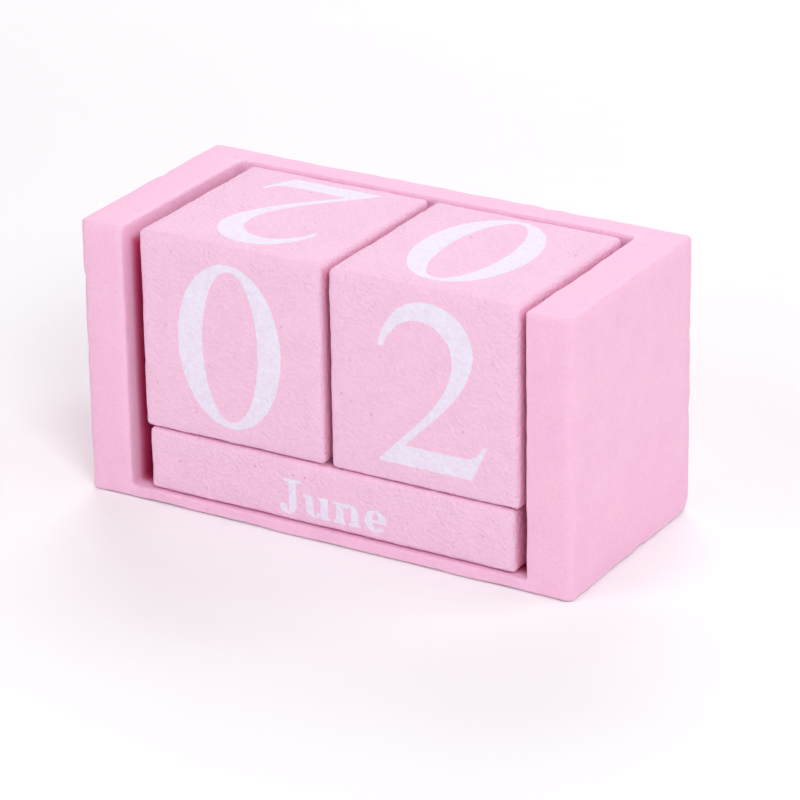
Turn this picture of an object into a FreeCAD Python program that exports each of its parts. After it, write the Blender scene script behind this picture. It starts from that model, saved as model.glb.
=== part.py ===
import FreeCAD, Part
import Sketcher
import os

# A painted wooden desk calendar: two number cubes standing on three month
# bars in an open-fronted, open-topped tray.  Millimetres.  +X runs to the
# viewer's right, +Y to the back and +Z up.  The origin is the middle of the
# tray's underside.

doc = FreeCAD.newDocument("BlockCalendar")

# ---------------------------------------------------------------- sizes
SIZES = {
    # tray
    "overall_width": "95",
    "overall_height": "50",
    "side_thickness": "8.9",
    "back_thickness": "5.6",
    "base_thickness": "2.4",
    "tray_edge_radius": "1",
    # room left around the cubes
    "left_gap": "2.7",
    "middle_gap": "1.2",
    "right_gap": "1.3",
    "front_setback": "0.7",
    "rear_gap": "0.7",
    # month bars
    "bar_section": "11.5",
    "bar_left_gap": "3.4",
    "bar_right_gap": "2.1",
    "bar_gap": "0.3",
    "bar_edge_radius": "0.9",
    # cubes
    "cube_edge_radius": "1.2",
    # thin air film under everything that is only laid in place
    "rest_clearance": "0.05",
    # headless steel pins from the sides into the ends of the back board
    "pin_diameter": "1.2",
    "pin_depth_in_back": "12",
    "pin_point_length": "1.5",
    "pin_filler_depth": "1.5",
    "pin_margin": "12",
}

sizes = doc.addObject("Spreadsheet::Sheet", "Sizes")
for row, (alias, value) in enumerate(SIZES.items(), start=1):
    sizes.set(f"A{row}", alias)
    sizes.set(f"B{row}", value)
    sizes.setAlias(f"B{row}", alias)
doc.recompute()

# ---------------------------------------------------------------- derived sizes
# The cubes share what the sides and the three gaps leave of the width.
cavity_width = "(Sizes.overall_width - 2 * Sizes.side_thickness)"
cube_size = f"(({cavity_width} - Sizes.left_gap - Sizes.middle_gap - Sizes.right_gap) / 2)"
bar_length = f"({cavity_width} - Sizes.bar_left_gap - Sizes.bar_right_gap)"
bar_names = ("front_month_bar", "middle_month_bar", "rear_month_bar")
bar_row_depth = f"({len(bar_names)} * Sizes.bar_section + {len(bar_names) - 1} * Sizes.bar_gap)"
cavity_depth = f"(Sizes.front_setback + max({cube_size}; {bar_row_depth}) + Sizes.rear_gap)"
overall_depth = f"({cavity_depth} + Sizes.back_thickness)"

# places of the tray's faces
left_face = "(-Sizes.overall_width / 2)"
left_wall = f"({left_face} + Sizes.side_thickness)"
right_wall = "(Sizes.overall_width / 2 - Sizes.side_thickness)"
front_face = f"(-{overall_depth} / 2)"
back_wall = f"({front_face} + {cavity_depth})"
bar_underside = "(Sizes.base_thickness + Sizes.rest_clearance)"
cube_underside = f"({bar_underside} + Sizes.bar_section + Sizes.rest_clearance)"

# pins: from under the filler in a side to their full depth in the back board
pin_depth_in_side = "(Sizes.side_thickness - Sizes.pin_filler_depth)"
pin_length = f"({pin_depth_in_side} + Sizes.pin_depth_in_back)"
pin_spacing = "(Sizes.overall_height - 2 * Sizes.pin_margin)"
pin_setback = "(Sizes.back_thickness / 2)"


# ---------------------------------------------------------------- shared steps
def origin_plane(body, role):
    """The body's own XY_Plane, XZ_Plane or YZ_Plane."""
    for feature in body.Origin.OriginFeatures:
        if feature.Role == role:
            return feature
    raise RuntimeError(f"no {role} in {body.Label}")


def new_body(label, place):
    """A body whose Placement is bound to three expressions."""
    body = doc.addObject("PartDesign::Body", label)
    body.Label = label
    for axis, expression in zip("xyz", place):
        body.setExpression(f"Placement.Base.{axis}", expression)
    return body


def new_sketch(body, name, role):
    sketch = body.newObject("Sketcher::SketchObject", name)
    sketch.AttachmentSupport = (origin_plane(body, role), [""])
    sketch.MapMode = "FlatFace"
    return sketch


def bind(sketch, constraint, expression):
    """Add a dimension to a sketch and tie it to an expression."""
    index = sketch.addConstraint(constraint)
    sketch.setExpression(f"Constraints[{index}]", expression)


def sawn_block(body, length, depth, height):
    """A block sawn square, with its lower front left corner at the body's origin."""
    sketch = new_sketch(body, f"{body.Label}_outline", "XY_Plane")
    corners = [FreeCAD.Vector(x, y, 0) for x, y in ((0, 0), (10, 0), (10, 5), (0, 5))]
    for index in range(4):
        sketch.addGeometry(Part.LineSegment(corners[index], corners[(index + 1) % 4]), False)
    for index in range(4):
        sketch.addConstraint(Sketcher.Constraint("Coincident", index, 2, (index + 1) % 4, 1))
    for direction, line in (("Horizontal", 0), ("Vertical", 1), ("Horizontal", 2), ("Vertical", 3)):
        sketch.addConstraint(Sketcher.Constraint(direction, line))
    sketch.addConstraint(Sketcher.Constraint("Coincident", 0, 1, -1, 1))
    bind(sketch, Sketcher.Constraint("DistanceX", 0, 1, 0, 2, 10.0), length)
    bind(sketch, Sketcher.Constraint("DistanceY", 1, 1, 1, 2, 5.0), depth)
    pad = body.newObject("PartDesign::Pad", f"{body.Label}_block")
    pad.Profile = sketch
    pad.setExpression("Length", height)
    sketch.Visibility = False
    doc.recompute()
    return pad


def round_edges(body, feature, radius, wanted):
    """Round the edges whose middle, as shares of the block's box, passes the test."""
    box = feature.Shape.BoundBox
    names = []
    for index, edge in enumerate(feature.Shape.Edges, start=1):
        middle = edge.CenterOfMass
        shares = ((middle.x - box.XMin) / box.XLength,
                  (middle.y - box.YMin) / box.YLength,
                  (middle.z - box.ZMin) / box.ZLength)
        if wanted(*[round(share, 3) for share in shares]):
            names.append(f"Edge{index}")
    fillet = body.newObject("PartDesign::Fillet", f"{body.Label}_rounding")
    fillet.Base = (feature, names)
    fillet.setExpression("Radius", radius)
    doc.recompute()
    return fillet


def pin_holes(body, name, face_x, depth, towards_right):
    """Two blind holes, one above the other, drilled from the plane x = face_x."""
    sketch = new_sketch(body, name, "YZ_Plane")
    sketch.setExpression("AttachmentOffset.Base.z", face_x)
    for height in ("Sizes.pin_margin", f"Sizes.pin_margin + {pin_spacing}"):
        line = sketch.GeometryCount
        circle = Part.Circle(FreeCAD.Vector(2, 10 + line, 0), FreeCAD.Vector(0, 0, 1), 0.5)
        sketch.addGeometry(circle, False)
        bind(sketch, Sketcher.Constraint("Diameter", line, 1.0), "Sizes.pin_diameter")
        bind(sketch, Sketcher.Constraint("DistanceX", -1, 1, line, 3, 2.0), pin_line(body))
        bind(sketch, Sketcher.Constraint("DistanceY", -1, 1, line, 3, 10.0), height)
    volume = body.Tip.Shape.Volume
    pocket = body.newObject("PartDesign::Pocket", f"{name}_drilling")
    pocket.Profile = sketch
    pocket.setExpression("Length", depth)
    pocket.Reversed = towards_right
    sketch.Visibility = False
    doc.recompute()
    if pocket.Shape.Volume > volume - 1:
        raise RuntimeError(f"{name} cut nothing")
    return pocket


def pin_line(body):
    """How far behind the body's front face the pins run."""
    if body.Label == "back_board":
        return pin_setback
    return f"{cavity_depth} + {pin_setback}"


# ---------------------------------------------------------------- base board
# A thin board between the sides, in front of the back board.  Its front
# edges are the only ones that don't meet another board.
base = new_body("base_board", (left_wall, front_face, "0"))
base_block = sawn_block(base, cavity_width, cavity_depth, "Sizes.base_thickness")
round_edges(base, base_block, "Sizes.tray_edge_radius", lambda x, y, z: x == 0.5 and y == 0)


# ---------------------------------------------------------------- back board
# Stands between the sides at full height, pinned through both of them.
back = new_body("back_board", (left_wall, back_wall, "0"))
back_block = sawn_block(back, cavity_width, "Sizes.back_thickness", "Sizes.overall_height")
round_edges(back, back_block, "Sizes.tray_edge_radius",
            lambda x, y, z: x == 0.5 and not (y == 0 and z == 0))
pin_holes(back, "back_left_holes", "0", "Sizes.pin_depth_in_back", True)
pin_holes(back, "back_right_holes", cavity_width, "Sizes.pin_depth_in_back", False)


# ---------------------------------------------------------------- sides
# Thick boards over the whole depth and height.  The inner face meets the
# base and the back board, so its edges stay square.
left_side = new_body("left_side", (left_face, front_face, "0"))
left_block = sawn_block(left_side, "Sizes.side_thickness", overall_depth, "Sizes.overall_height")
round_edges(left_side, left_block, "Sizes.tray_edge_radius", lambda x, y, z: x < 1)
pin_holes(left_side, "left_holes", "Sizes.side_thickness", pin_depth_in_side, False)

right_side = new_body("right_side", (right_wall, front_face, "0"))
right_block = sawn_block(right_side, "Sizes.side_thickness", overall_depth, "Sizes.overall_height")
round_edges(right_side, right_block, "Sizes.tray_edge_radius", lambda x, y, z: x > 0)
pin_holes(right_side, "right_holes", "0", pin_depth_in_side, True)


# ---------------------------------------------------------------- pins
# Two headless pins in each side, one above the other, driven below the
# surface and covered with filler.  Each pin is a shank with a cone point
# that ends in the back board.
def pin_pair(label, start_x, towards_right):
    body = new_body(label, (start_x, f"{back_wall} + {pin_setback}", "Sizes.pin_margin"))
    body.AllowCompound = True
    sketch = new_sketch(body, f"{label}_profile", "XZ_Plane")
    way = 1 if towards_right else -1
    outline = [(0, 0), (way * 20, 0), (way * 18, 0.5), (0, 0.5)]
    points = [FreeCAD.Vector(x, y, 0) for x, y in outline]
    for index in range(4):
        sketch.addGeometry(Part.LineSegment(points[index], points[(index + 1) % 4]), False)
    for index in range(4):
        sketch.addConstraint(Sketcher.Constraint("Coincident", index, 2, (index + 1) % 4, 1))
    sketch.addConstraint(Sketcher.Constraint("Coincident", 0, 1, -1, 1))
    sketch.addConstraint(Sketcher.Constraint("Horizontal", 0))
    sketch.addConstraint(Sketcher.Constraint("Horizontal", 2))
    sketch.addConstraint(Sketcher.Constraint("Vertical", 3))
    shank = f"{pin_length} - Sizes.pin_point_length"
    ends = (1, 2) if towards_right else (2, 1)
    bind(sketch, Sketcher.Constraint("DistanceX", 0, ends[0], 0, ends[1], 20.0), pin_length)
    bind(sketch, Sketcher.Constraint("DistanceX", 2, ends[1], 2, ends[0], 18.0), shank)
    bind(sketch, Sketcher.Constraint("DistanceY", 3, 2, 3, 1, 0.5), "Sizes.pin_diameter / 2")
    pin = body.newObject("PartDesign::Revolution", f"{label}_pin")
    pin.Profile = sketch
    pin.ReferenceAxis = (sketch, ["H_Axis"])
    pin.Angle = 360
    sketch.Visibility = False
    doc.recompute()
    pair = body.newObject("PartDesign::LinearPattern", f"{label}_pair")
    pair.Originals = [pin]
    pair.Direction = (sketch, ["V_Axis"])
    pair.setExpression("Length", pin_spacing)
    pair.Occurrences = 2
    body.Tip = pair
    doc.recompute()
    return body


left_pins = pin_pair("left_side_pins", f"{left_face} + Sizes.pin_filler_depth", True)
right_pins = pin_pair("right_side_pins", "Sizes.overall_width / 2 - Sizes.pin_filler_depth", False)


# ---------------------------------------------------------------- month bars
# Three square bars, four months each, laid one behind the other on the base.
bar_front = f"{front_face} + Sizes.front_setback"
bars = []
for place, name in enumerate(bar_names):
    bar_y = f"{bar_front} + {place} * (Sizes.bar_section + Sizes.bar_gap)"
    bar = new_body(name, (f"{left_wall} + Sizes.bar_left_gap", bar_y, bar_underside))
    bar_block = sawn_block(bar, bar_length, "Sizes.bar_section", "Sizes.bar_section")
    round_edges(bar, bar_block, "Sizes.bar_edge_radius", lambda x, y, z: True)
    bars.append(bar)


# ---------------------------------------------------------------- number cubes
# Two cubes side by side on the bars, level with the bars' front faces.
left_cube_x = f"{left_wall} + Sizes.left_gap"
right_cube_x = f"{left_cube_x} + {cube_size} + Sizes.middle_gap"
cubes = []
for name, cube_x in (("left_number_cube", left_cube_x), ("right_number_cube", right_cube_x)):
    cube = new_body(name, (cube_x, bar_front, cube_underside))
    cube_block = sawn_block(cube, cube_size, cube_size, cube_size)
    round_edges(cube, cube_block, "Sizes.cube_edge_radius", lambda x, y, z: True)
    cubes.append(cube)


# ---------------------------------------------------------------- check and export
pieces = [base, back, left_side, right_side, left_pins, right_pins] + bars + cubes
doc.recompute()
for item in doc.Objects:
    if "Invalid" in item.State or "Error" in item.State:
        raise RuntimeError(f"{item.Label} did not build: {item.State}")
for piece in pieces:
    shape = piece.Shape
    if shape.isNull() or not shape.isValid() or not shape.Solids:
        raise RuntimeError(f"{piece.Label} has no valid solid")

os.makedirs("parts", exist_ok=True)
for piece in pieces:
    piece.Shape.exportStep(f"parts/{piece.Label}.step")
    box = piece.Shape.BoundBox
    print(f"{piece.Label:18s} solids {len(piece.Shape.Solids)}"
          f"  x {box.XMin:7.2f} {box.XMax:7.2f}  y {box.YMin:7.2f} {box.YMax:7.2f}"
          f"  z {box.ZMin:6.2f} {box.ZMax:6.2f}  volume {piece.Shape.Volume:9.1f}")
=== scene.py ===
import bpy
import math
from mathutils import Matrix, Vector, noise


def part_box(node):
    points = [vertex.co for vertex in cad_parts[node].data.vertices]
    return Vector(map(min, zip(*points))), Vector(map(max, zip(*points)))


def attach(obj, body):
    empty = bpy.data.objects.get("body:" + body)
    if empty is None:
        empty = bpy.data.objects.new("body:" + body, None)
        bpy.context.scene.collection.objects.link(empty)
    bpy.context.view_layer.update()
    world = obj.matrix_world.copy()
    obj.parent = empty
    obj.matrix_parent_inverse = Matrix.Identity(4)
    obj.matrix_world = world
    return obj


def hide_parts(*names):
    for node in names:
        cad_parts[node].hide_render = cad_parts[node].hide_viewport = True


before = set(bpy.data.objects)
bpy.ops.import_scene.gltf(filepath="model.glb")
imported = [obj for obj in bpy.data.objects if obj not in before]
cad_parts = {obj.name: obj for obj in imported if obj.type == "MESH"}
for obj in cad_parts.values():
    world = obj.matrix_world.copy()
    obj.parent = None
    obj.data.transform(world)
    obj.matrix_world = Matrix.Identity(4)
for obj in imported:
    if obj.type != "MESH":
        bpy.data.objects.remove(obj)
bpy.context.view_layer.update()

mm = 0.001

# ---------------------------------------------------------------- camera
# A long lens looks at the calendar from the right and a little above, and
# leans by about a degree.
camera_azimuth = math.radians(31)
camera_elevation = math.radians(23.4)
camera_roll = math.radians(-0.9)
camera_distance = 698 * mm
camera_aim = Vector((3.15, -0.97, 19.35)) * mm
camera_lens = 185
camera_sensor = 36
camera_near_limit = 10 * mm


def direction(azimuth, elevation):
    """The direction towards an azimuth, 0 being the front, and an elevation."""
    level = math.cos(elevation)
    return Vector((math.sin(azimuth) * level, -math.cos(azimuth) * level, math.sin(elevation)))


bpy.context.scene.view_settings.view_transform = "Standard"
towards_camera = direction(camera_azimuth, camera_elevation)
camera_data = bpy.data.cameras.new("camera")
camera_data.lens = camera_lens
camera_data.sensor_width = camera_sensor
camera_data.clip_start = camera_near_limit
camera = bpy.data.objects.new("camera", camera_data)
bpy.context.scene.collection.objects.link(camera)
camera.location = camera_aim + towards_camera * camera_distance
camera.rotation_mode = "QUATERNION"
camera.rotation_quaternion = (towards_camera.to_track_quat("Z", "Y")
                              @ Matrix.Rotation(camera_roll, 4, "Z").to_quaternion())
bpy.context.scene.camera = camera

# ---------------------------------------------------------------- tray
# Four pine boards, glued and pinned, then sanded and painted as one piece:
# two thick sides, a back board between them and a thin base in front of it.
# It is shaped whole, with its cavity cut out and its edges rounded over, and
# then sawn into the four boards where they meet.
tray_low = Vector((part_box("left_side")[0].x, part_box("left_side")[0].y, 0))
tray_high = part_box("right_side")[1]
left_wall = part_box("left_side")[1].x
right_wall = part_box("right_side")[0].x
back_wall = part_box("back_board")[0].y
base_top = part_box("base_board")[1].z
tray_rounding = 0.65 * mm
tray_corner_rounding = 1.6 * mm
tray_corner_fillet = 0.5 * mm
tray_grid = 1.2 * mm
tray_wander = 0.32 * mm
tray_wander_size = 4 * mm
tray_dip = 0.15 * mm
touching = 0.02 * mm


def box_piece(name, low, high):
    """A primitive cube stretched to two corners, alone in the selection."""
    bpy.ops.object.select_all(action="DESELECT")
    bpy.ops.mesh.primitive_cube_add(size=1)
    piece = bpy.context.object
    piece.name = name
    piece.scale = high - low
    piece.location = (low + high) / 2
    bpy.ops.object.transform_apply(location=True, rotation=True, scale=True)
    return piece


def alone(piece):
    """Make the piece the only one selected, and the active one."""
    bpy.ops.object.mode_set(mode="OBJECT")
    bpy.ops.object.select_all(action="DESELECT")
    piece.select_set(True)
    bpy.context.view_layer.objects.active = piece


def edit_edges(piece):
    """Open the piece for editing, with edges as the thing to pick and none picked."""
    alone(piece)
    bpy.ops.object.mode_set(mode="EDIT")
    bpy.ops.mesh.select_mode(type="EDGE")
    bpy.ops.mesh.select_all(action="DESELECT")


def bevel_picked(width, segments):
    """Round the picked edges of the piece being edited, and close it again."""
    bpy.ops.mesh.bevel(offset=width, segments=segments, profile=0.5, affect="EDGES")
    bpy.ops.object.mode_set(mode="OBJECT")


def bevel_edges(piece, wanted, width, segments):
    """Round the edges for which wanted(middle, direction) is true."""
    edit_edges(piece)
    bpy.ops.object.mode_set(mode="OBJECT")
    places = piece.data.vertices
    for edge in piece.data.edges:
        start, end = (places[index].co for index in edge.vertices)
        edge.select = wanted((start + end) / 2, (end - start).normalized())
    bpy.ops.object.mode_set(mode="EDIT")
    bevel_picked(width, segments)


def cut_into_grid(piece, low, high, step):
    """Cut every face into cells, so that edges and faces can be worked."""
    weld_distance = 0.01 * mm
    alone(piece)
    bpy.ops.object.mode_set(mode="EDIT")
    for axis in range(3):
        cells = max(1, round((high[axis] - low[axis]) / step))
        normal = [0, 0, 0]
        normal[axis] = 1
        for cell in range(1, cells):
            point = Vector(low)
            point[axis] += (high[axis] - low[axis]) * cell / cells
            bpy.ops.mesh.select_all(action="SELECT")
            bpy.ops.mesh.bisect(plane_co=point, plane_no=normal)
    bpy.ops.mesh.select_all(action="SELECT")
    bpy.ops.mesh.remove_doubles(threshold=weld_distance)
    bpy.ops.object.mode_set(mode="OBJECT")


def point_values(piece, name, values):
    """Give every point of the piece a value that materials can read."""
    attribute = piece.data.attributes.new(name, "FLOAT", "POINT")
    attribute.data.foreach_set("value", values)


def sanded_by_hand(piece, near_edge, wobble, size, dip):
    """Let the rounded edges wander, and the faces dip a little, always inwards."""
    cloud_octaves = 2
    cloud_top = 0.85
    drift_stretch = 3
    dip_stretch = 4
    shares = [near_edge(vertex.co) for vertex in piece.data.vertices]
    group = piece.vertex_groups.new(name="edges")
    for index, share in enumerate(shares):
        group.add([index], share, "REPLACE")
    point_values(piece, "edge", shares)
    for name, cloud_size, depth, vertex_group in (
            ("wander", size, wobble, "edges"),
            ("drift", size * drift_stretch, wobble, "edges"),
            ("dip", size * dip_stretch, dip, "")):
        if depth == 0:
            continue
        clouds = bpy.data.textures.new(name, "CLOUDS")
        clouds.noise_scale = cloud_size
        clouds.noise_depth = cloud_octaves
        displace = piece.modifiers.new(name, "DISPLACE")
        displace.texture = clouds
        displace.texture_coords = "LOCAL"
        displace.direction = "NORMAL"
        displace.mid_level = cloud_top
        displace.strength = depth
        displace.vertex_group = vertex_group
        alone(piece)
        bpy.ops.object.modifier_apply(modifier=name)


def at(value, place):
    return abs(value - place) < touching


def on_tray_outside(middle):
    """How many of the tray's outer faces the point lies on."""
    faces = [at(middle[axis], side[axis]) for axis in range(3) for side in (tray_low, tray_high)]
    return sum(faces)


def in_cavity(middle, slack):
    """Whether the point lies in the cavity or on its walls, give or take the slack."""
    return (left_wall - slack < middle.x < right_wall + slack
            and middle.y < back_wall + slack and middle.z > base_top - slack)


def ease(share):
    """Turn a straight rise from 0 to 1 into one that starts and ends level."""
    return share * share * (3 - 2 * share)


tray = box_piece("tray", tray_low, tray_high)
overshoot = 5 * mm
cavity = box_piece("cavity", Vector((left_wall, tray_low.y - overshoot, base_top)),
                   Vector((right_wall, back_wall, tray_high.z + overshoot)))
alone(tray)
cut = tray.modifiers.new("cavity", "BOOLEAN")
cut.operation = "DIFFERENCE"
cut.object = cavity
bpy.ops.object.modifier_apply(modifier="cavity")
bpy.data.objects.remove(cavity)

upright = 0.99
sharp_angle = math.radians(60)
bevel_edges(tray, lambda middle, way: on_tray_outside(middle) == 0 and in_cavity(middle, touching),
            tray_corner_fillet, segments=2)
bevel_edges(tray, lambda middle, way: on_tray_outside(middle) == 2 and abs(way.z) > upright,
            tray_corner_rounding, segments=6)
edit_edges(tray)
bpy.ops.mesh.edges_select_sharp(sharpness=sharp_angle)
bevel_picked(tray_rounding, segments=4)
cut_into_grid(tray, tray_low, tray_high, tray_grid)

edge_reach = 2.5 * mm
mouth_reach = 3 * mm
out_of_reach = 1000 * mm


def near_tray_edge(place):
    """1 on the rounded edges, falling to 0 a few millimetres from them."""
    gaps = sorted(min(abs(place[axis] - side[axis]) for side in (tray_low, tray_high))
                  for axis in range(3))
    distance = gaps[1]
    if left_wall - mouth_reach < place.x < right_wall + mouth_reach:
        to_wall = min(abs(place.x - left_wall), abs(place.x - right_wall))
        to_mouth = min(abs(place.y - tray_low.y), abs(place.z - tray_high.z))
        to_base = abs(place.z - base_top) if at(place.y, tray_low.y) else out_of_reach
        to_back = abs(place.y - back_wall) if at(place.z, tray_high.z) else out_of_reach
        distance = min(distance, math.hypot(min(to_wall, to_base, to_back), to_mouth))
    return max(0, 1 - distance / edge_reach)


# where the painted shade in the cavity begins behind its mouth, how far it takes to reach full
# strength, and the slack round the cavity's walls
mouth_depth = 2 * mm
mouth_fade = 2.5 * mm
cavity_slack = 0.4 * mm


def cavity_shade_depth(place):
    """0 at the mouth of the cavity, rising to 1 on the surfaces well inside it: the painted shade's
    strength.
    """
    if not in_cavity(place, cavity_slack):
        return 0
    depth = min(place.y - tray_low.y, tray_high.z - place.z)
    return ease(min(1, max(0, (depth - mouth_depth) / mouth_fade)))


sanded_by_hand(tray, near_tray_edge, tray_wander, tray_wander_size, tray_dip)
# where the tray was knocked, in millimetres: place, reach and depth
knocks = (((47.5, 21.5, 33), 2.2, 0.5), ((47.5, 21.5, 19), 2, 0.4),
          ((47.5, 21.5, 0.5), 2.6, 0.7), ((47.5, 3, 0), 2, 0.35),
          ((47.5, -21.5, 29), 1.8, 0.35), ((-47.5, -21.5, 39), 2, 0.4),
          ((-47.5, 4, 50), 2, 0.35), ((20, 21.5, 50), 2.2, 0.35))
tray_heart = Vector((0, 0, 25)) * mm
for place, reach, depth in knocks:
    place = Vector(place) * mm
    inwards = (tray_heart - place).normalized() * depth * mm
    for vertex in tray.data.vertices:
        share = 1 - (vertex.co - place).length / (reach * mm)
        if share > 0:
            vertex.co += inwards * ease(share)
# painted shade inside the cavity, which the paint coat reads as "depth"
point_values(tray, "depth", [cavity_shade_depth(vertex.co) for vertex in tray.data.vertices])


def saw_off(whole, name, point, normal):
    """Saw a copy of the whole along a plane and keep the side the normal points to."""
    saw_tolerance = 0.0001 * mm
    alone(whole)
    bpy.ops.object.duplicate()
    board = bpy.context.object
    board.name = name
    alone(board)
    bpy.ops.object.mode_set(mode="EDIT")
    bpy.ops.mesh.select_all(action="SELECT")
    bpy.ops.mesh.bisect(plane_co=point, plane_no=normal, use_fill=True, clear_inner=True,
                        threshold=saw_tolerance)
    bpy.ops.object.mode_set(mode="OBJECT")
    return board


tray_left = saw_off(tray, "tray_left_side", (left_wall, 0, 0), (-1, 0, 0))
tray_right = saw_off(tray, "tray_right_side", (right_wall, 0, 0), (1, 0, 0))
without_left = saw_off(tray, "without_left", (left_wall, 0, 0), (1, 0, 0))
middle = saw_off(without_left, "middle", (right_wall, 0, 0), (-1, 0, 0))
tray_back = saw_off(middle, "tray_back_board", (0, back_wall, 0), (0, 1, 0))
tray_base = saw_off(middle, "tray_base_board", (0, back_wall, 0), (0, -1, 0))
for scrap in (tray, without_left, middle):
    bpy.data.objects.remove(scrap)


def new_material(name, specular):
    """A material with its even gloss on the shader's own socket, and that shader."""
    material = bpy.data.materials.new(name)
    material.use_nodes = True
    shader = material.node_tree.nodes["Principled BSDF"]
    shader.inputs["Specular IOR Level"].default_value = specular
    return material, shader


def paint_coat_group():
    """Brushed matte paint: blotches, orange peel, pits darkened with painted shade,
    paler edges that are partly sanded wear and partly a painted highlight, and
    painted shade, a deeper colour where little light comes."""
    group = bpy.data.node_groups.new("paint_coat", "ShaderNodeTree")
    for name in ("Paint", "Blotch", "Edge", "Painted_Shade"):
        group.interface.new_socket(name=name, in_out="INPUT", socket_type="NodeSocketColor")
    for name in ("Blotch Size", "Peel Size", "Blotch Amount", "Pit Amount"):
        group.interface.new_socket(name=name, in_out="INPUT", socket_type="NodeSocketFloat")
    group.interface.new_socket(name="Color", in_out="OUTPUT", socket_type="NodeSocketColor")
    for name in ("Roughness", "Height"):
        group.interface.new_socket(name=name, in_out="OUTPUT", socket_type="NodeSocketFloat")
    nodes, links = group.nodes, group.links
    given = nodes.new("NodeGroupInput").outputs
    place = nodes.new("ShaderNodeTexCoord").outputs["Object"]

    def feed(socket, value):
        if isinstance(value, (int, float)):
            socket.default_value = value
        else:
            links.new(value, socket)

    def clouds(scale, detail, roughness):
        node = nodes.new("ShaderNodeTexNoise")
        node.inputs["Detail"].default_value = detail
        node.inputs["Roughness"].default_value = roughness
        links.new(place, node.inputs["Vector"])
        feed(node.inputs["Scale"], scale)
        return node.outputs["Fac"]

    def remap(value, low, high, out_low, out_high):
        node = nodes.new("ShaderNodeMapRange")
        for socket, number in zip(("From Min", "From Max", "To Min", "To Max"),
                                  (low, high, out_low, out_high)):
            node.inputs[socket].default_value = number
        links.new(value, node.inputs["Value"])
        return node.outputs["Result"]

    def calculate(operation, first, second):
        node = nodes.new("ShaderNodeMath")
        node.operation = operation
        feed(node.inputs[0], first)
        feed(node.inputs[1], second)
        return node.outputs["Value"]

    def blend_colour(share, first, second):
        node = nodes.new("ShaderNodeMix")
        node.data_type = "RGBA"
        links.new(share, node.inputs["Factor"])
        links.new(first, node.inputs["A"])
        links.new(second, node.inputs["B"])
        return node.outputs["Result"]

    def point_value(name):
        node = nodes.new("ShaderNodeAttribute")
        node.attribute_name = name
        return node.outputs["Fac"]

    blotch_share = 0.5
    blotch = remap(clouds(given["Blotch Size"], detail=3, roughness=0.6),
                   low=0.35, high=0.68, out_low=0, out_high=1)
    grain = remap(clouds(given["Peel Size"], detail=2, roughness=0.5),
                  low=0.35, high=0.65, out_low=0, out_high=1)
    blotch = calculate("ADD", calculate("MULTIPLY", blotch, blotch_share),
                       calculate("MULTIPLY", grain, 1 - blotch_share))
    blotch = calculate("MULTIPLY", blotch, given["Blotch Amount"])

    # paler rounded edges: partly sanded wear, partly a painted highlight
    edge_wear_and_highlight_falloff = 2.5
    worn_and_highlit = remap(clouds(scale=420, detail=3, roughness=0.6),
                   low=0.3, high=0.7, out_low=0.35, out_high=1)
    worn_and_highlit = calculate("MULTIPLY", calculate("POWER", point_value("edge"), edge_wear_and_highlight_falloff), worn_and_highlit)

    pit_scale = 520
    pit_rarity = 0.86
    pit_shade_share = 0.5
    pits = nodes.new("ShaderNodeTexVoronoi")
    pits.feature = "F1"
    pits.inputs["Scale"].default_value = pit_scale
    links.new(place, pits.inputs["Vector"])
    pit = remap(pits.outputs["Distance"], low=0.02, high=0.16, out_low=1, out_high=0)
    chance = nodes.new("ShaderNodeSeparateColor")
    links.new(pits.outputs["Color"], chance.inputs["Color"])
    pit = calculate("MULTIPLY", pit, calculate("GREATER_THAN", chance.outputs["Red"], pit_rarity))
    pit = calculate("MULTIPLY", pit, given["Pit Amount"])

    colour = blend_colour(blotch, given["Paint"], given["Blotch"])
    colour = blend_colour(worn_and_highlit, colour, given["Edge"])
    # painted shade in the pits, in the deep colour
    colour = blend_colour(calculate("MULTIPLY", pit, pit_shade_share), colour, given["Painted_Shade"])
    # painted shade: the deep colour where the "depth" value says little light comes
    colour = blend_colour(point_value("depth"), colour, given["Painted_Shade"])

    blotch_height = 0.1
    patches = remap(clouds(scale=190, detail=2, roughness=0.5),
                    low=0.4, high=0.6, out_low=0.75, out_high=1)
    peel = calculate("ADD", calculate("MULTIPLY", grain, patches),
                     calculate("MULTIPLY", blotch, blotch_height))
    peel = calculate("SUBTRACT", peel, pit)

    given_back = nodes.new("NodeGroupOutput").inputs
    links.new(colour, given_back["Color"])
    links.new(remap(blotch, low=0, high=1, out_low=0.62, out_high=0.5), given_back["Roughness"])
    links.new(peel, given_back["Height"])
    return group


paint_coat = paint_coat_group()
paint_specular = 0.35
# where the painted shade's "depth" value reaches this, the paint has only the dull share of its
# specular level left, so reflections don't lighten the painted shade
dull_depth = 0.45
dull_specular = 0.03


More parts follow.
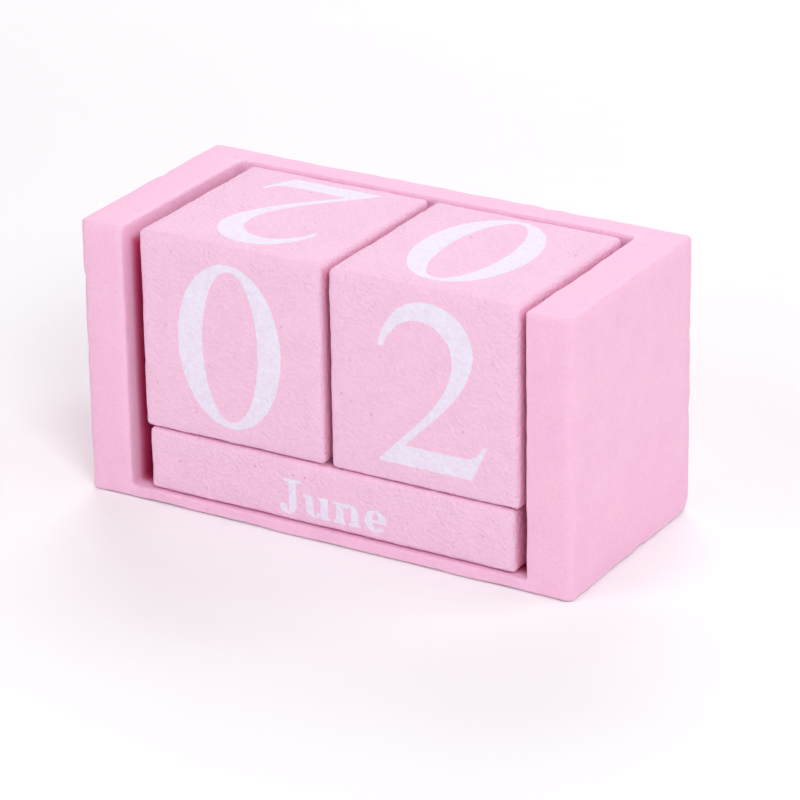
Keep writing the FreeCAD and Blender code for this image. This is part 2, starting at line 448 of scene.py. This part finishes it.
def painted(name, paint, blotch, edge, shade_colour, bump_height, values):
    """Matte paint with the shared coat; values go to the coat's own inputs."""
    material, shader = new_material(name, paint_specular)
    nodes, links = material.node_tree.nodes, material.node_tree.links
    coat = nodes.new("ShaderNodeGroup")
    coat.node_tree = paint_coat
    for socket, colour in (("Paint", paint), ("Blotch", blotch), ("Edge", edge), ("Painted_Shade", shade_colour)):
        coat.inputs[socket].default_value = (*colour, 1)
    for socket, value in values.items():
        coat.inputs[socket].default_value = value
    bump = nodes.new("ShaderNodeBump")
    bump.inputs["Strength"].default_value = 1
    bump.inputs["Distance"].default_value = bump_height
    links.new(coat.outputs["Height"], bump.inputs["Height"])
    links.new(coat.outputs["Color"], shader.inputs["Base Color"])
    links.new(coat.outputs["Roughness"], shader.inputs["Roughness"])
    links.new(bump.outputs["Normal"], shader.inputs["Normal"])
    # the specular level falls with the painted shade, so the shaded faces keep their dark colour
    depth = nodes.new("ShaderNodeAttribute")
    depth.attribute_name = "depth"
    gloss = nodes.new("ShaderNodeMapRange")
    gloss.inputs["From Max"].default_value = dull_depth
    gloss.inputs["To Min"].default_value = paint_specular
    gloss.inputs["To Max"].default_value = dull_specular
    links.new(depth.outputs["Fac"], gloss.inputs["Value"])
    links.new(gloss.outputs["Result"], shader.inputs["Specular IOR Level"])
    return material


smooth_angle = math.radians(50)


def finish_piece(piece, material, body, slot, *nodes):
    """Smooth the piece, give it its material and tie it to its body; slot is not used."""
    alone(piece)
    bpy.ops.object.shade_smooth_by_angle(angle=smooth_angle)
    piece.data.materials.clear()
    piece.data.materials.append(material)
    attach(piece, body)
    if nodes:
        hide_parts(*nodes)


pink = (0.93, 0.57, 0.725)
blotch_pink = (0.87, 0.49, 0.715)
# the paler edge pink: partly sanded wear, partly a painted highlight
worn_edge_and_highlight_pink = (0.94, 0.61, 0.79)
# the colour of painted shade: in the tray's cavity, in the pits and on the blocks' faces in the
# gaps
painted_shade_pink = (0.66, 0.08, 0.21)
tray_bump = 0.05 * mm
tray_paint = painted("tray_paint", pink, blotch_pink, worn_edge_and_highlight_pink, painted_shade_pink, tray_bump,
                     {"Blotch Size": 150, "Peel Size": 1500, "Blotch Amount": 0.8,
                      "Pit Amount": 0.6})
for board, node in ((tray_left, "left_side"), (tray_right, "right_side"),
                    (tray_back, "back_board"), (tray_base, "base_board")):
    finish_piece(board, tray_paint, "tray", "tray_paint", node)

# ---------------------------------------------------------------- pins
# Two headless steel pins through each side into the back board, sunk under
# filler and paint.  Drawn wire, left bright.
steel_specular = 0.5
steel_roughness = 0.35
steel_dark = (0.32, 0.32, 0.33)
steel_light = (0.6, 0.6, 0.62)
drawn_line_stretch = (60, 6000, 6000)
steel, steel_shader = new_material("pin_steel", steel_specular)
steel_shader.inputs["Metallic"].default_value = 1
steel_shader.inputs["Roughness"].default_value = steel_roughness
steel_nodes, steel_links = steel.node_tree.nodes, steel.node_tree.links
steel_place = steel_nodes.new("ShaderNodeTexCoord")
drawn_along = steel_nodes.new("ShaderNodeMapping")
drawn_along.inputs["Scale"].default_value = drawn_line_stretch
drawn_lines = steel_nodes.new("ShaderNodeTexNoise")
drawn_lines.inputs["Scale"].default_value = 1
steel_tone = steel_nodes.new("ShaderNodeValToRGB")
steel_tone.color_ramp.elements[0].color = (*steel_dark, 1)
steel_tone.color_ramp.elements[1].color = (*steel_light, 1)
steel_links.new(steel_place.outputs["Object"], drawn_along.inputs["Vector"])
steel_links.new(drawn_along.outputs["Vector"], drawn_lines.inputs["Vector"])
steel_links.new(drawn_lines.outputs["Fac"], steel_tone.inputs["Fac"])
steel_links.new(steel_tone.outputs["Color"], steel_shader.inputs["Base Color"])
for node in ("left_side_pins", "right_side_pins"):
    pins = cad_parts[node]
    pins.data.materials.clear()
    pins.data.materials.append(steel)

# ---------------------------------------------------------------- month bars
# Three square wooden bars, sawn, sanded round at the edges by hand and dipped
# in the same pink.  They are rougher than the tray.
bar_rounding = 0.9 * mm
bar_grid = 1 * mm
block_wander = 0.3 * mm
block_wander_size = 2.5 * mm
# painted shade on the faces that never see the light: how strong it is, and
# where it begins behind a lit face
painted_shade_share = 0.45
painted_shade_start = 0.5 * mm
painted_shade_fade = 1 * mm


def near_block_edge(low, high, reach):
    """A test that is 1 on a block's rounded edges and 0 further in."""
    def share(place):
        gaps = sorted(min(abs(place[axis] - low[axis]), abs(place[axis] - high[axis]))
                      for axis in range(3))
        return max(0, 1 - gaps[1] / reach)
    return share


def sanded_block(name, node, rounding, grid, top_seen):
    """A block the size of its CAD node, with rounded, slightly wandering edges."""
    low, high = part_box(node)
    block = box_piece(name, low, high)
    bevel_edges(block, lambda middle, way: True, rounding, segments=4)
    cut_into_grid(block, low, high, grid)
    sanded_by_hand(block, near_block_edge(low, high, 2 * rounding), block_wander,
                   block_wander_size, dip=0)
    # painted shade, deepening behind the front face, and behind the top where the top is seen
    gap_shade_values = []
    for vertex in block.data.vertices:
        from_light = vertex.co.y - low.y
        if top_seen:
            from_light = min(from_light, high.z - vertex.co.z)
        share = min(1, max(0, (from_light - painted_shade_start) / painted_shade_fade))
        gap_shade_values.append(painted_shade_share * share)
    point_values(block, "depth", gap_shade_values)
    return block


block_pink = (0.94, 0.62, 0.785)
block_blotch = (0.87, 0.55, 0.74)
block_bump = 0.14 * mm
rough_paint = {"Blotch Size": 420, "Peel Size": 1600, "Blotch Amount": 0.6, "Pit Amount": 1}
bar_paint = painted("bar_paint", block_pink, block_blotch, worn_edge_and_highlight_pink, painted_shade_pink, block_bump,
                    rough_paint)
bar_places = ("front", "middle", "rear")
for place in bar_places:
    node = place + "_month_bar"
    bar = sanded_block(place + "_bar", node, bar_rounding, bar_grid, top_seen=False)
    finish_piece(bar, bar_paint, place + "_bar", "bar_paint", node)

# ---------------------------------------------------------------- month names
# One month name screen-printed in white on each long face of each bar, in a
# bold slab letter.  A name is set from letters, and a letter from pen strokes
# that are welded together.
ink_thickness = 0.02 * mm
ink_bump = 0.08 * mm
ink_white = (0.86, 0.87, 0.97)
ink_thin = (0.84, 0.66, 0.82)
ink = painted("numeral_print", ink_white, ink_thin, ink_white, ink_white, ink_bump,
              {"Blotch Size": 700, "Peel Size": 1700, "Blotch Amount": 0.6, "Pit Amount": 0.5})

# Prints are drawn with one unit to the millimetre and shrunk as they are laid
# on a face, so their sizes from here on are plain millimetres.
stem_width = 1.4
serif = 0.5
letter_gap = 0.35
letter_size = 1.06
letter_height = 6
print_unevenness = 0.14
print_cell = 0.45
print_lump_scale = 1.6
# how far to the left of a print and below its foot its cells begin
cell_margin = 2
# mathutils shifts its vector noise by the clock unless it is given a seed, and
# with one every run draws the same lumps
print_seed = 1
noise.seed_set(print_seed)

# Each letter is an advance width and a list of pen strokes from its foot.
# stem: left, foot, top.  slab: left, right, foot.  ball: middle, radius.
# slant: foot left, foot, top left, top, width.
# bowl: middle, half width, half height, start and end in degrees, and at
# times the thickness at the sides and at the top.
letter_strokes = {
    "J": (3.9, [("stem", 1.5, 1.1, 5.75), ("slab", 0.7, 3.7, 5.25),
                ("bowl", 1.3, 1.15, 1.6, 1.55, 195, 360), ("ball", 0.5, 0.85, 0.62)]),
    "F": (5.3, [("stem", 0.7, 0, 5.75), ("slab", 0, 3, 0), ("slab", 0, 5, 5.25),
                ("slant", 4.5, 4, 4.5, 5.75, 0.5), ("slab", 2, 3.6, 2.75),
                ("slant", 3.3, 2.1, 3.3, 3.9, 0.45)]),
    "M": (8, [("slant", 0.8, 0, 0.8, 5.75, 0.6), ("slab", 0, 2.2, 0),
              ("slant", 3.3, 0, 0.6, 5.75, 1.6), ("slant", 3.6, 0, 5.9, 5.75, 0.6),
              ("stem", 5.6, 0, 5.75), ("slab", 5, 7.7, 0), ("slab", 0, 1.6, 5.25),
              ("slab", 5.9, 7.7, 5.25)]),
    "A": (6.2, [("slant", 0.4, 0, 2.6, 5.75, 0.7), ("slant", 3.8, 0, 2.1, 5.75, 1.6),
                ("slab", 1.3, 4.2, 1.6), ("slab", -0.2, 1.8, 0), ("slab", 3.2, 6, 0)]),
    "S": (4.7, [("bowl", 2.2, 4.3, 1.95, 1.5, 25, 270, 1.2, 0.55),
                ("bowl", 2.2, 1.5, 2.1, 1.55, 195, 450, 1.3, 0.55),
                ("slant", 3.4, 3.9, 3.4, 5.6, 0.5), ("slant", 0.2, 0.1, 0.2, 1.9, 0.5)]),
    "O": (6.1, [("bowl", 2.9, 2.87, 2.9, 2.95, 0, 360, 1.5, 0.5)]),
    "N": (6.6, [("slant", 0.8, 0, 0.8, 5.75, 0.6), ("slant", 4, 0, 0.4, 5.75, 1.7),
                ("slant", 5, 0, 5, 5.75, 0.6), ("slab", 0, 2.2, 0), ("slab", 0, 1.6, 5.25),
                ("slab", 4.2, 6.4, 5.25)]),
    "D": (6.2, [("stem", 0.7, 0, 5.75), ("slab", 0, 2.8, 0), ("slab", 0, 2.8, 5.25),
                ("bowl", 2.5, 2.875, 3.3, 2.875, -90, 90, 1.5, 0.5)]),
    "a": (4.7, [("bowl", 1.9, 2.45, 1.8, 1.35, 0, 160, 1.3, 0.5), ("ball", 0.75, 2.8, 0.6),
                ("bowl", 1.7, 1.1, 1.6, 1.15, 0, 360, 1, 0.45), ("stem", 2.3, 0, 2.5),
                ("slab", 3.5, 4.4, 0)]),
    "b": (4.9, [("stem", 0.35, 0, 5.9), ("slab", -0.1, 1.2, 5.4),
                ("bowl", 2.4, 1.87, 2.2, 1.95, 0, 360)]),
    "c": (4.2, [("bowl", 2, 1.87, 2, 1.95, 45, 325), ("ball", 3.2, 2.85, 0.62)]),
    "e": (4.3, [("bowl", 2, 1.87, 2, 1.95, 0, 325), ("slab", 0.9, 3.9, 1.6)]),
    "g": (4.8, [("bowl", 1.9, 2.1, 1.9, 1.7, 0, 360), ("stem", 2.5, -0.5, 3.75),
                ("bowl", 2, -0.4, 1.9, 1.3, 195, 360), ("ball", 0.8, -0.7, 0.5),
                ("slab", 3.4, 4.5, 3.25)]),
    "h": (5.3, [("stem", 0.4, 0, 5.9), ("slab", -0.1, 1.2, 5.4), ("slab", 0, 2.2, 0),
                ("bowl", 2.8, 2.2, 1.75, 1.6, 0, 150), ("stem", 3.15, 0, 2.3),
                ("slab", 2.8, 4.95, 0)]),
    "i": (2.6, [("stem", 0.4, 0, 3.75), ("slab", -0.1, 1.2, 3.25), ("slab", 0, 2.2, 0),
                ("ball", 1.1, 5.1, 0.75)]),
    "l": (2.6, [("stem", 0.4, 0, 5.9), ("slab", -0.1, 1.2, 5.4), ("slab", 0, 2.2, 0)]),
    "m": (8.1, [("stem", 0.4, 0, 3.75), ("slab", -0.1, 1.2, 3.25), ("slab", 0, 2.2, 0),
                ("bowl", 2.8, 2.2, 1.75, 1.6, 0, 150), ("stem", 3.15, 0, 2.3),
                ("slab", 2.8, 4.95, 0), ("bowl", 5.55, 2.2, 1.75, 1.6, 0, 150),
                ("stem", 5.9, 0, 2.3), ("slab", 5.55, 7.7, 0)]),
    "n": (5.3, [("stem", 0.4, 0, 3.75), ("slab", -0.1, 1.2, 3.25), ("slab", 0, 2.2, 0),
                ("bowl", 2.8, 2.2, 1.75, 1.6, 0, 150), ("stem", 3.15, 0, 2.3),
                ("slab", 2.8, 4.95, 0)]),
    "o": (4.5, [("bowl", 2.1, 1.87, 2.1, 1.95, 0, 360)]),
    "p": (4.9, [("stem", 0.35, -1.6, 3.75), ("slab", -0.1, 1.2, 3.25), ("slab", 0, 2.3, -1.6),
                ("bowl", 2.4, 1.87, 2.2, 1.95, 0, 360)]),
    "r": (4.0, [("stem", 0.4, 0, 3.75), ("slab", -0.1, 1.2, 3.25), ("slab", 0, 2.4, 0),
                ("bowl", 2.8, 2.2, 1.6, 1.6, 60, 160), ("ball", 3.2, 3.05, 0.62)]),
    "s": (3.7, [("bowl", 1.7, 2.75, 1.45, 1.05, 25, 270, 0.95, 0.5),
                ("bowl", 1.7, 1.02, 1.6, 1.08, 195, 450, 1, 0.5),
                ("slant", 2.6, 2.6, 2.6, 3.7, 0.4), ("slant", 0.2, 0.05, 0.2, 1.3, 0.4)]),
    "t": (3.5, [("stem", 0.6, 0.9, 4.9), ("slab", 0, 3.1, 3.25),
                ("bowl", 2.35, 1.15, 1.75, 1.2, 180, 310)]),
    "u": (5.3, [("stem", 0.4, 1.4, 3.75), ("slab", -0.1, 1.2, 3.25),
                ("bowl", 2.15, 1.5, 1.75, 1.55, 180, 330), ("stem", 3.15, 0, 3.75),
                ("slab", 2.6, 3.8, 3.25), ("slab", 3.9, 5, 0)]),
    "v": (4.7, [("slant", 1.7, 0, 0.3, 3.6, 1.5), ("slant", 2.2, 0, 3.5, 3.6, 0.6),
                ("slab", -0.1, 2.1, 3.25), ("slab", 2.8, 4.6, 3.25)]),
    "y": (4.7, [("slant", 1.7, 0, 0.3, 3.6, 1.5), ("slant", 2.2, 0, 3.5, 3.6, 0.6),
                ("slab", -0.1, 2.1, 3.25), ("slab", 2.8, 4.6, 3.25),
                ("slant", 1.4, -1.3, 2.2, 0.4, 0.8), ("ball", 1.2, -1.1, 0.62)]),
}

ball_corners = 24
bowl_step = 7.5


def stroke_outline(kind, *numbers):
    """The loops of corners round one pen stroke."""
    if kind == "stem":
        left, foot, top = numbers
        kind, numbers = "slant", (left, foot, left, top, stem_width)
    if kind == "slab":
        left, right_end, foot = numbers
        kind, numbers = "slant", (left, foot, left, foot + serif, right_end - left)
    if kind == "slant":
        foot_x, foot, top_x, top, width = numbers
        return [[(foot_x, foot), (foot_x + width, foot), (top_x + width, top), (top_x, top)]]
    if kind == "ball":
        middle_x, middle_y, radius = numbers
        turns = [math.radians(360 * corner / ball_corners) for corner in range(ball_corners)]
        return [[(middle_x + radius * math.cos(turn), middle_y + radius * math.sin(turn))
                 for turn in turns]]
    middle_x, middle_y, wide, tall, start, end = numbers[:6]
    thick, thin = numbers[6:] or (stem_width, serif)
    steps = round((end - start) / bowl_step)
    turns = [math.radians(start + (end - start) * step / steps) for step in range(steps + 1)]
    outer = [(middle_x + wide * math.cos(turn), middle_y + tall * math.sin(turn))
             for turn in turns]
    inner = [(middle_x + (wide - thick) * math.cos(turn), middle_y + (tall - thin) * math.sin(turn))
             for turn in reversed(turns)]
    if end - start == 360:
        return [outer[:-1], inner[:-1]]
    return [outer + inner]


# how far along its tangents a quarter of an ellipse has its handles
round_share = 0.5523
curve_steps = 10
print_weld_distance = 0.005


def printed_outline(name, outlines):
    """A flat slab, 1 thick, from outlines of lines and curves."""
    data = bpy.data.curves.new(name, "CURVE")
    data.dimensions = "2D"
    data.fill_mode = "BOTH"
    data.resolution_u = curve_steps
    data.extrude = 1 / 2
    for outline in outlines:
        here = Vector((*outline[0], 0))
        corners = [here]
        handles = []
        for kind, *numbers in outline[1:]:
            there = Vector((numbers[-2], numbers[-1], 0))
            step = there - here
            if kind == "line":
                pair = (None, None)
            elif kind == "rise":
                pair = (here + Vector((0, step.y * round_share, 0)),
                        there - Vector((step.x * round_share, 0, 0)))
            elif kind == "level":
                pair = (here + Vector((step.x * round_share, 0, 0)),
                        there - Vector((0, step.y * round_share, 0)))
            else:
                pair = (Vector((*numbers[0:2], 0)), Vector((*numbers[2:4], 0)))
            handles.append(pair)
            corners.append(there)
            here = there
        corners.pop()
        spline = data.splines.new("BEZIER")
        spline.bezier_points.add(len(corners) - 1)
        spline.use_cyclic_u = True
        for index, point in enumerate(spline.bezier_points):
            leaving, arriving = handles[index][0], handles[index - 1][1]
            point.handle_right_type = "FREE" if leaving else "VECTOR"
            point.handle_left_type = "FREE" if arriving else "VECTOR"
            point.co = corners[index]
            if leaving:
                point.handle_right = leaving
            if arriving:
                point.handle_left = arriving
    slab = bpy.data.objects.new(name, data)
    bpy.context.scene.collection.objects.link(slab)
    alone(slab)
    bpy.ops.object.convert(target="MESH")
    slab = bpy.context.object
    bpy.ops.object.mode_set(mode="EDIT")
    bpy.ops.mesh.select_all(action="SELECT")
    bpy.ops.mesh.remove_doubles(threshold=print_weld_distance)
    bpy.ops.mesh.normals_make_consistent(inside=False)
    bpy.ops.object.mode_set(mode="OBJECT")
    return slab


def uneven_print(slab, width, height):
    """Cut a slab into cells and nudge them, for the lumpy edge of a thick print."""
    alone(slab)
    bpy.ops.object.mode_set(mode="EDIT")
    for axis, length in ((0, width), (1, height)):
        normal = [0, 0, 0]
        normal[axis] = 1
        for cell in range(round(-cell_margin / print_cell), round(length / print_cell) + 1):
            point = [0, 0, 0]
            point[axis] = (cell + 1 / 2) * print_cell
            bpy.ops.mesh.select_all(action="SELECT")
            bpy.ops.mesh.bisect(plane_co=point, plane_no=normal)
    bpy.ops.object.mode_set(mode="OBJECT")
    for vertex in slab.data.vertices:
        flat = Vector((vertex.co.x, vertex.co.y, 0))
        shift = noise.noise_vector(flat * print_lump_scale) * print_unevenness
        vertex.co += Vector((shift.x, shift.y, 0))


def letter_slab(letter):
    """One letter: its strokes as slabs, welded by union."""
    advance, strokes = letter_strokes[letter]
    slabs = []
    for stroke in strokes:
        outlines = []
        for loop in stroke_outline(*stroke):
            outlines.append([loop[0]] + [("line", *corner) for corner in loop[1:] + loop[:1]])
        slabs.append(printed_outline("letter_" + letter, outlines))
    whole = slabs[0]
    for slab in slabs[1:]:
        alone(whole)
        weld = whole.modifiers.new("weld", "BOOLEAN")
        weld.operation = "UNION"
        weld.object = slab
        bpy.ops.object.modifier_apply(modifier="weld")
        bpy.data.objects.remove(slab)
    uneven_print(whole, advance, letter_height)
    return whole


letter_slabs = {}


def set_word(word):
    """The letters of a word side by side, as one slab, and the word's length."""
    pen = 0
    letters = []
    for letter in word:
        if letter not in letter_slabs:
            letter_slabs[letter] = letter_slab(letter)
        copy = letter_slabs[letter].copy()
        copy.data = copy.data.copy()
        bpy.context.scene.collection.objects.link(copy)
        copy.location.x = pen
        copy.scale = (letter_size, letter_size, 1)
        pen += (letter_strokes[letter][0] + letter_gap) * letter_size
        letters.append(copy)
    alone(letters[0])
    for copy in letters:
        copy.select_set(True)
    bpy.ops.object.join()
    bpy.ops.object.transform_apply(location=True, rotation=True, scale=True)
    name = bpy.context.object
    name.name = "print_" + word
    return name, pen


def lay_print(slab, middle, along, up, foot, turn=0):
    """Lay a slab on a block's face.

    middle is the face's middle, along and up are its directions, and foot is
    where the print's own origin goes, in millimetres from the middle.
    """
    out = along.cross(up)
    spin = Matrix.Rotation(math.radians(turn), 3, out)
    frame_of_face = Matrix((spin @ along * mm, spin @ up * mm, out * ink_thickness))
    origin = middle + spin @ (along * foot[0] + up * foot[1]) * mm + out * ink_thickness / 2
    slab.data.transform(Matrix.Translation(origin) @ frame_of_face.transposed().to_4x4())


right, back, above = Vector((1, 0, 0)), Vector((0, 1, 0)), Vector((0, 0, 1))
# the four long faces in the order in which rolling the bar forward shows them
bar_faces = ((-back, above), (above, back), (back, -above), (-above, -back))
month_names = {"front": ("June", "July", "August", "May"),
               "middle": ("January", "February", "March", "April"),
               "rear": ("September", "October", "November", "December")}
name_foot = -3.95
# names with a letter that hangs below the line are printed higher by this
descender = 0.9
hanging_letters = set("gpy")
# how far from the middle a name was printed
name_shift = {"June": 1.4, "July": 6}
for place in bar_places:
    low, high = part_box(place + "_month_bar")
    for name, (outwards, up) in zip(month_names[place], bar_faces):
        slab, length = set_word(name)
        face = (low + high) / 2 + outwards * (high.z - low.z) / 2
        foot = name_foot + (descender if set(name) & hanging_letters else 0)
        lay_print(slab, face, right, up, (name_shift.get(name, 0) - length / 2, foot))
        finish_piece(slab, ink, place + "_bar", "numeral_print")
for slab in letter_slabs.values():
    bpy.data.objects.remove(slab)

# ---------------------------------------------------------------- number cubes
# Two wooden cubes, sawn square, sanded and painted like the bars.  They stand
# on the bars, loose in the tray, and are lifted out and turned by hand.
cube_rounding = 1 * mm
cube_grid = 1.1 * mm
cube_paint = painted("cube_paint", block_pink, block_blotch, worn_edge_and_highlight_pink, painted_shade_pink, block_bump,
                     rough_paint)
for side in ("left", "right"):
    node = side + "_number_cube"
    cube = sanded_block(side + "_cube", node, cube_rounding, cube_grid, top_seen=True)
    finish_piece(cube, cube_paint, side + "_cube", "cube_paint", node)

# ---------------------------------------------------------------- numerals
# White numerals screen-printed on all six faces of both cubes.  The left cube
# has 0 to 5, the right one 0, 1, 2, 6, 7 and 8, and its 6 turned over is a 9.
numeral_height = 29.7

# Each outline starts at a point.  "rise" leaves it upright and arrives level,
# "level" leaves it level and arrives upright, "line" is straight and "bend"
# is a curve with its own two handles.  Millimetres from the numeral's foot.
numeral_outlines = {
    "0": [[(0, 14.9), ("rise", 10.4, 29.7), ("level", 20.4, 14.9), ("rise", 10.2, 0),
           ("level", 0, 14.9)],
          [(4.9, 14.9), ("rise", 10.6, 28.5), ("level", 15.9, 14.9), ("rise", 10.2, 1.2),
           ("level", 4.9, 14.9)]],
    "1": [[(0.3, 0), ("line", 11.5, 0), ("line", 11.5, 0.8), ("bend", 9, 1, 8.2, 1.4, 8.2, 3),
           ("line", 8.2, 29.7), ("line", 7.4, 29.7), ("bend", 5.4, 27.7, 2.8, 26.3, 0, 25.7),
           ("line", 0, 24.9), ("bend", 2.4, 25.2, 3.6, 25, 3.6, 23.2), ("line", 3.6, 3),
           ("bend", 3.6, 1.4, 2.6, 1, 0.3, 0.8), ("line", 0.3, 0)]],
    "2": [[(0, 20.6), ("bend", 1, 26, 4.6, 29.7, 9.5, 29.7), ("level", 17.9, 21.9),
           ("bend", 17.9, 17.2, 13.7, 12.4, 11, 9.7), ("line", 4.9, 3.6), ("line", 15.6, 3.6),
           ("bend", 17.7, 3.6, 18.9, 4.4, 19.6, 6.2), ("line", 20.4, 6.2), ("line", 17.6, 0),
           ("line", 0.1, 0), ("line", 0.1, 0.5), ("line", 7.8, 8.4),
           ("bend", 11.2, 11.9, 14, 16, 14, 20.2), ("rise", 7.8, 26.2),
           ("bend", 4.6, 26.2, 2.2, 23.9, 0.9, 20.6), ("line", 0, 20.6)]],
    "3": [[(0.6, 23), ("bend", 1.6, 27, 4.4, 29.7, 8.4, 29.7), ("level", 15.2, 23),
           ("bend", 15.2, 19.8, 13, 17.6, 10.9, 16.5), ("bend", 15.2, 15.3, 17.8, 12.4, 17.8, 8.9),
           ("rise", 7, 0), ("bend", 3.6, 0, 0.8, 1.2, 0, 3.4), ("line", 0.8, 4.4),
           ("bend", 2.6, 2.4, 4.4, 1.3, 7, 1.3), ("level", 13.4, 8.2),
           ("bend", 13.4, 12.4, 10.6, 14.9, 5.6, 14.9), ("line", 5.6, 15.9),
           ("bend", 9, 16.6, 11, 19.6, 11, 22.4), ("rise", 7.2, 27.2),
           ("bend", 4.6, 27.2, 2.6, 25.7, 1.5, 23), ("line", 0.6, 23)]],
    "4": [[(11.6, 0), ("line", 15.9, 0), ("line", 15.9, 7.2), ("line", 20.2, 7.2),
           ("line", 20.2, 9.8), ("line", 15.9, 9.8), ("line", 15.9, 29.7), ("line", 13.6, 29.7),
           ("line", 0, 9.2), ("line", 0, 7.2), ("line", 11.6, 7.2), ("line", 11.6, 0)],
          [(11.6, 9.8), ("line", 2.2, 9.8), ("line", 11.6, 24), ("line", 11.6, 9.8)]],
    "5": [[(4.4, 29.2), ("line", 15, 29.2), ("line", 16.6, 29.9), ("line", 15, 25),
           ("line", 5.8, 25), ("line", 5, 20), ("bend", 12.8, 19.4, 18.2, 15.6, 18.2, 9.6),
           ("rise", 6.8, 0), ("bend", 3.4, 0, 0.6, 1.3, 0, 3.4), ("line", 0.8, 4.4),
           ("bend", 2.6, 2.4, 4.4, 1.3, 7, 1.3), ("level", 13.6, 8.2),
           ("bend", 13.6, 13, 9.4, 15.4, 2.1, 15.9), ("line", 4.4, 29.2)]],
    "6": [[(17.6, 29.7), ("bend", 8.2, 28.4, 0.4, 21.2, 0.4, 11), ("rise", 9.8, 0),
           ("level", 19.2, 9.4), ("rise", 11, 18.2), ("bend", 8.6, 18.2, 6.6, 17.4, 5.3, 16),
           ("bend", 6.2, 22.2, 10.6, 26.8, 17.7, 28.7), ("line", 17.6, 29.7)],
          [(5, 10), ("rise", 10, 16.4), ("level", 14.6, 8.6), ("rise", 10, 1.3),
           ("level", 5, 10)]],
    "7": [[(1.3, 29.2), ("line", 18.8, 29.2), ("line", 18.8, 28.4),
           ("bend", 14.6, 18.6, 10.4, 8.6, 8.8, 0), ("line", 4.9, 0),
           ("bend", 6.6, 7.8, 10.6, 16.8, 14.6, 25), ("line", 4.8, 25),
           ("bend", 2.6, 25, 1.6, 24, 0.9, 22.2), ("line", 0, 22.4), ("line", 1.3, 29.2)]],
    "8": [[(9.6, 29.7), ("level", 16.9, 22.9), ("bend", 16.9, 19.8, 14.6, 17.6, 12.4, 16.2),
           ("bend", 16.4, 14.2, 18.9, 11.6, 18.9, 8), ("rise", 9.5, 0), ("level", 0.2, 7.6),
           ("bend", 0.2, 11.4, 2.8, 13.4, 6.2, 15.2), ("bend", 3.6, 17, 2, 19.4, 2, 22.6),
           ("rise", 9.6, 29.7)],
          [(9.6, 28.4), ("level", 13.2, 22.8), ("bend", 13.2, 20.4, 12.2, 18.6, 10.9, 17.2),
           ("bend", 7.8, 18.8, 5.6, 20.6, 5.6, 23.4), ("rise", 9.6, 28.4)],
          [(7.6, 14.2), ("bend", 12, 12, 14.6, 10, 14.6, 6.8), ("rise", 9.7, 1.3),
           ("level", 4, 7.2), ("bend", 4, 10.4, 5.6, 12.6, 7.6, 14.2)]],
}

# outward direction, direction of the numeral's line, and its up direction
cube_faces = {"front": (-back, right, above), "back": (back, -right, above),
              "right": (right, back, above), "left": (-right, -back, above),
              "top": (above, right, back), "under": (-above, right, -back)}
# numeral, turn in degrees and the print's sideways and upward slip
cube_numerals = {
    "left": {"front": ("0", 0, -0.25, -0.05), "top": ("2", 180, -0.05, -0.05),
             "back": ("1", 0, 0, 0), "under": ("3", 0, 0.4, 0),
             "left": ("4", 0, 0, 0.3), "right": ("5", 0, 0, 0)},
    "right": {"front": ("2", 0, 1.85, 0.65), "top": ("0", 0, -0.25, 0.65),
              "back": ("1", 0, 0, 0), "under": ("6", 0, 0, -0.3),
              "left": ("7", 0, 0, 0), "right": ("8", 0, 0.3, 0)}}
for side, faces in cube_numerals.items():
    low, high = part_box(side + "_number_cube")
    for place, (numeral, turn, slip, lift) in faces.items():
        outwards, along, up = cube_faces[place]
        slab = printed_outline("_".join((side, "cube", place, "numeral")),
                               numeral_outlines[numeral])
        width = slab.dimensions.x
        uneven_print(slab, width, numeral_height)
        face = (low + high) / 2 + outwards * (high.z - low.z) / 2
        lay_print(slab, face, along, up, (slip - width / 2, lift - numeral_height / 2), turn)
        finish_piece(slab, ink, side + "_cube", "numeral_print")

# ---------------------------------------------------------------- floor and light
# A plain pale floor, five square softboxes round and above the calendar, and
# a faint pink glow from all sides that warms its gaps.
floor_size = 6
floor_white = (0.95, 0.99, 0.97)
floor_roughness = 0.9
floor_specular = 0.1
bpy.ops.object.select_all(action="DESELECT")
bpy.ops.mesh.primitive_plane_add(size=floor_size, location=(0, 0, 0))
floor = bpy.context.object
floor.name = "floor"
floor_material, floor_shader = new_material("floor", floor_specular)
floor_shader.inputs["Base Color"].default_value = (*floor_white, 1)
floor_shader.inputs["Roughness"].default_value = floor_roughness
floor.data.materials.append(floor_material)

studio_pink = (1, 0.4, 0.58)
studio_strength = 0.25
world = bpy.data.worlds.new("studio")
world.use_nodes = True
background = world.node_tree.nodes["Background"]
background.inputs["Color"].default_value = (*studio_pink, 1)
background.inputs["Strength"].default_value = studio_strength
bpy.context.scene.world = world

softbox_distance = 0.9
softbox_colour = (0.91, 1, 1)


def softbox(name, azimuth, elevation, size, power):
    """A square area light aimed at the calendar."""
    data = bpy.data.lights.new(name, "AREA")
    data.size = size
    data.energy = power
    data.color = softbox_colour
    light = bpy.data.objects.new(name, data)
    bpy.context.scene.collection.objects.link(light)
    towards = direction(math.radians(azimuth), math.radians(elevation))
    light.location = towards * softbox_distance
    light.rotation_mode = "QUATERNION"
    light.rotation_quaternion = towards.to_track_quat("Z", "Y")


softbox("key", azimuth=47, elevation=38, size=0.3, power=3.2)
softbox("left", azimuth=-32, elevation=32, size=0.5, power=2.4)
softbox("right", azimuth=120, elevation=32, size=0.5, power=2)
softbox("back", azimuth=208, elevation=34, size=0.6, power=3.7)
softbox("top", azimuth=60, elevation=78, size=0.6, power=1.7)
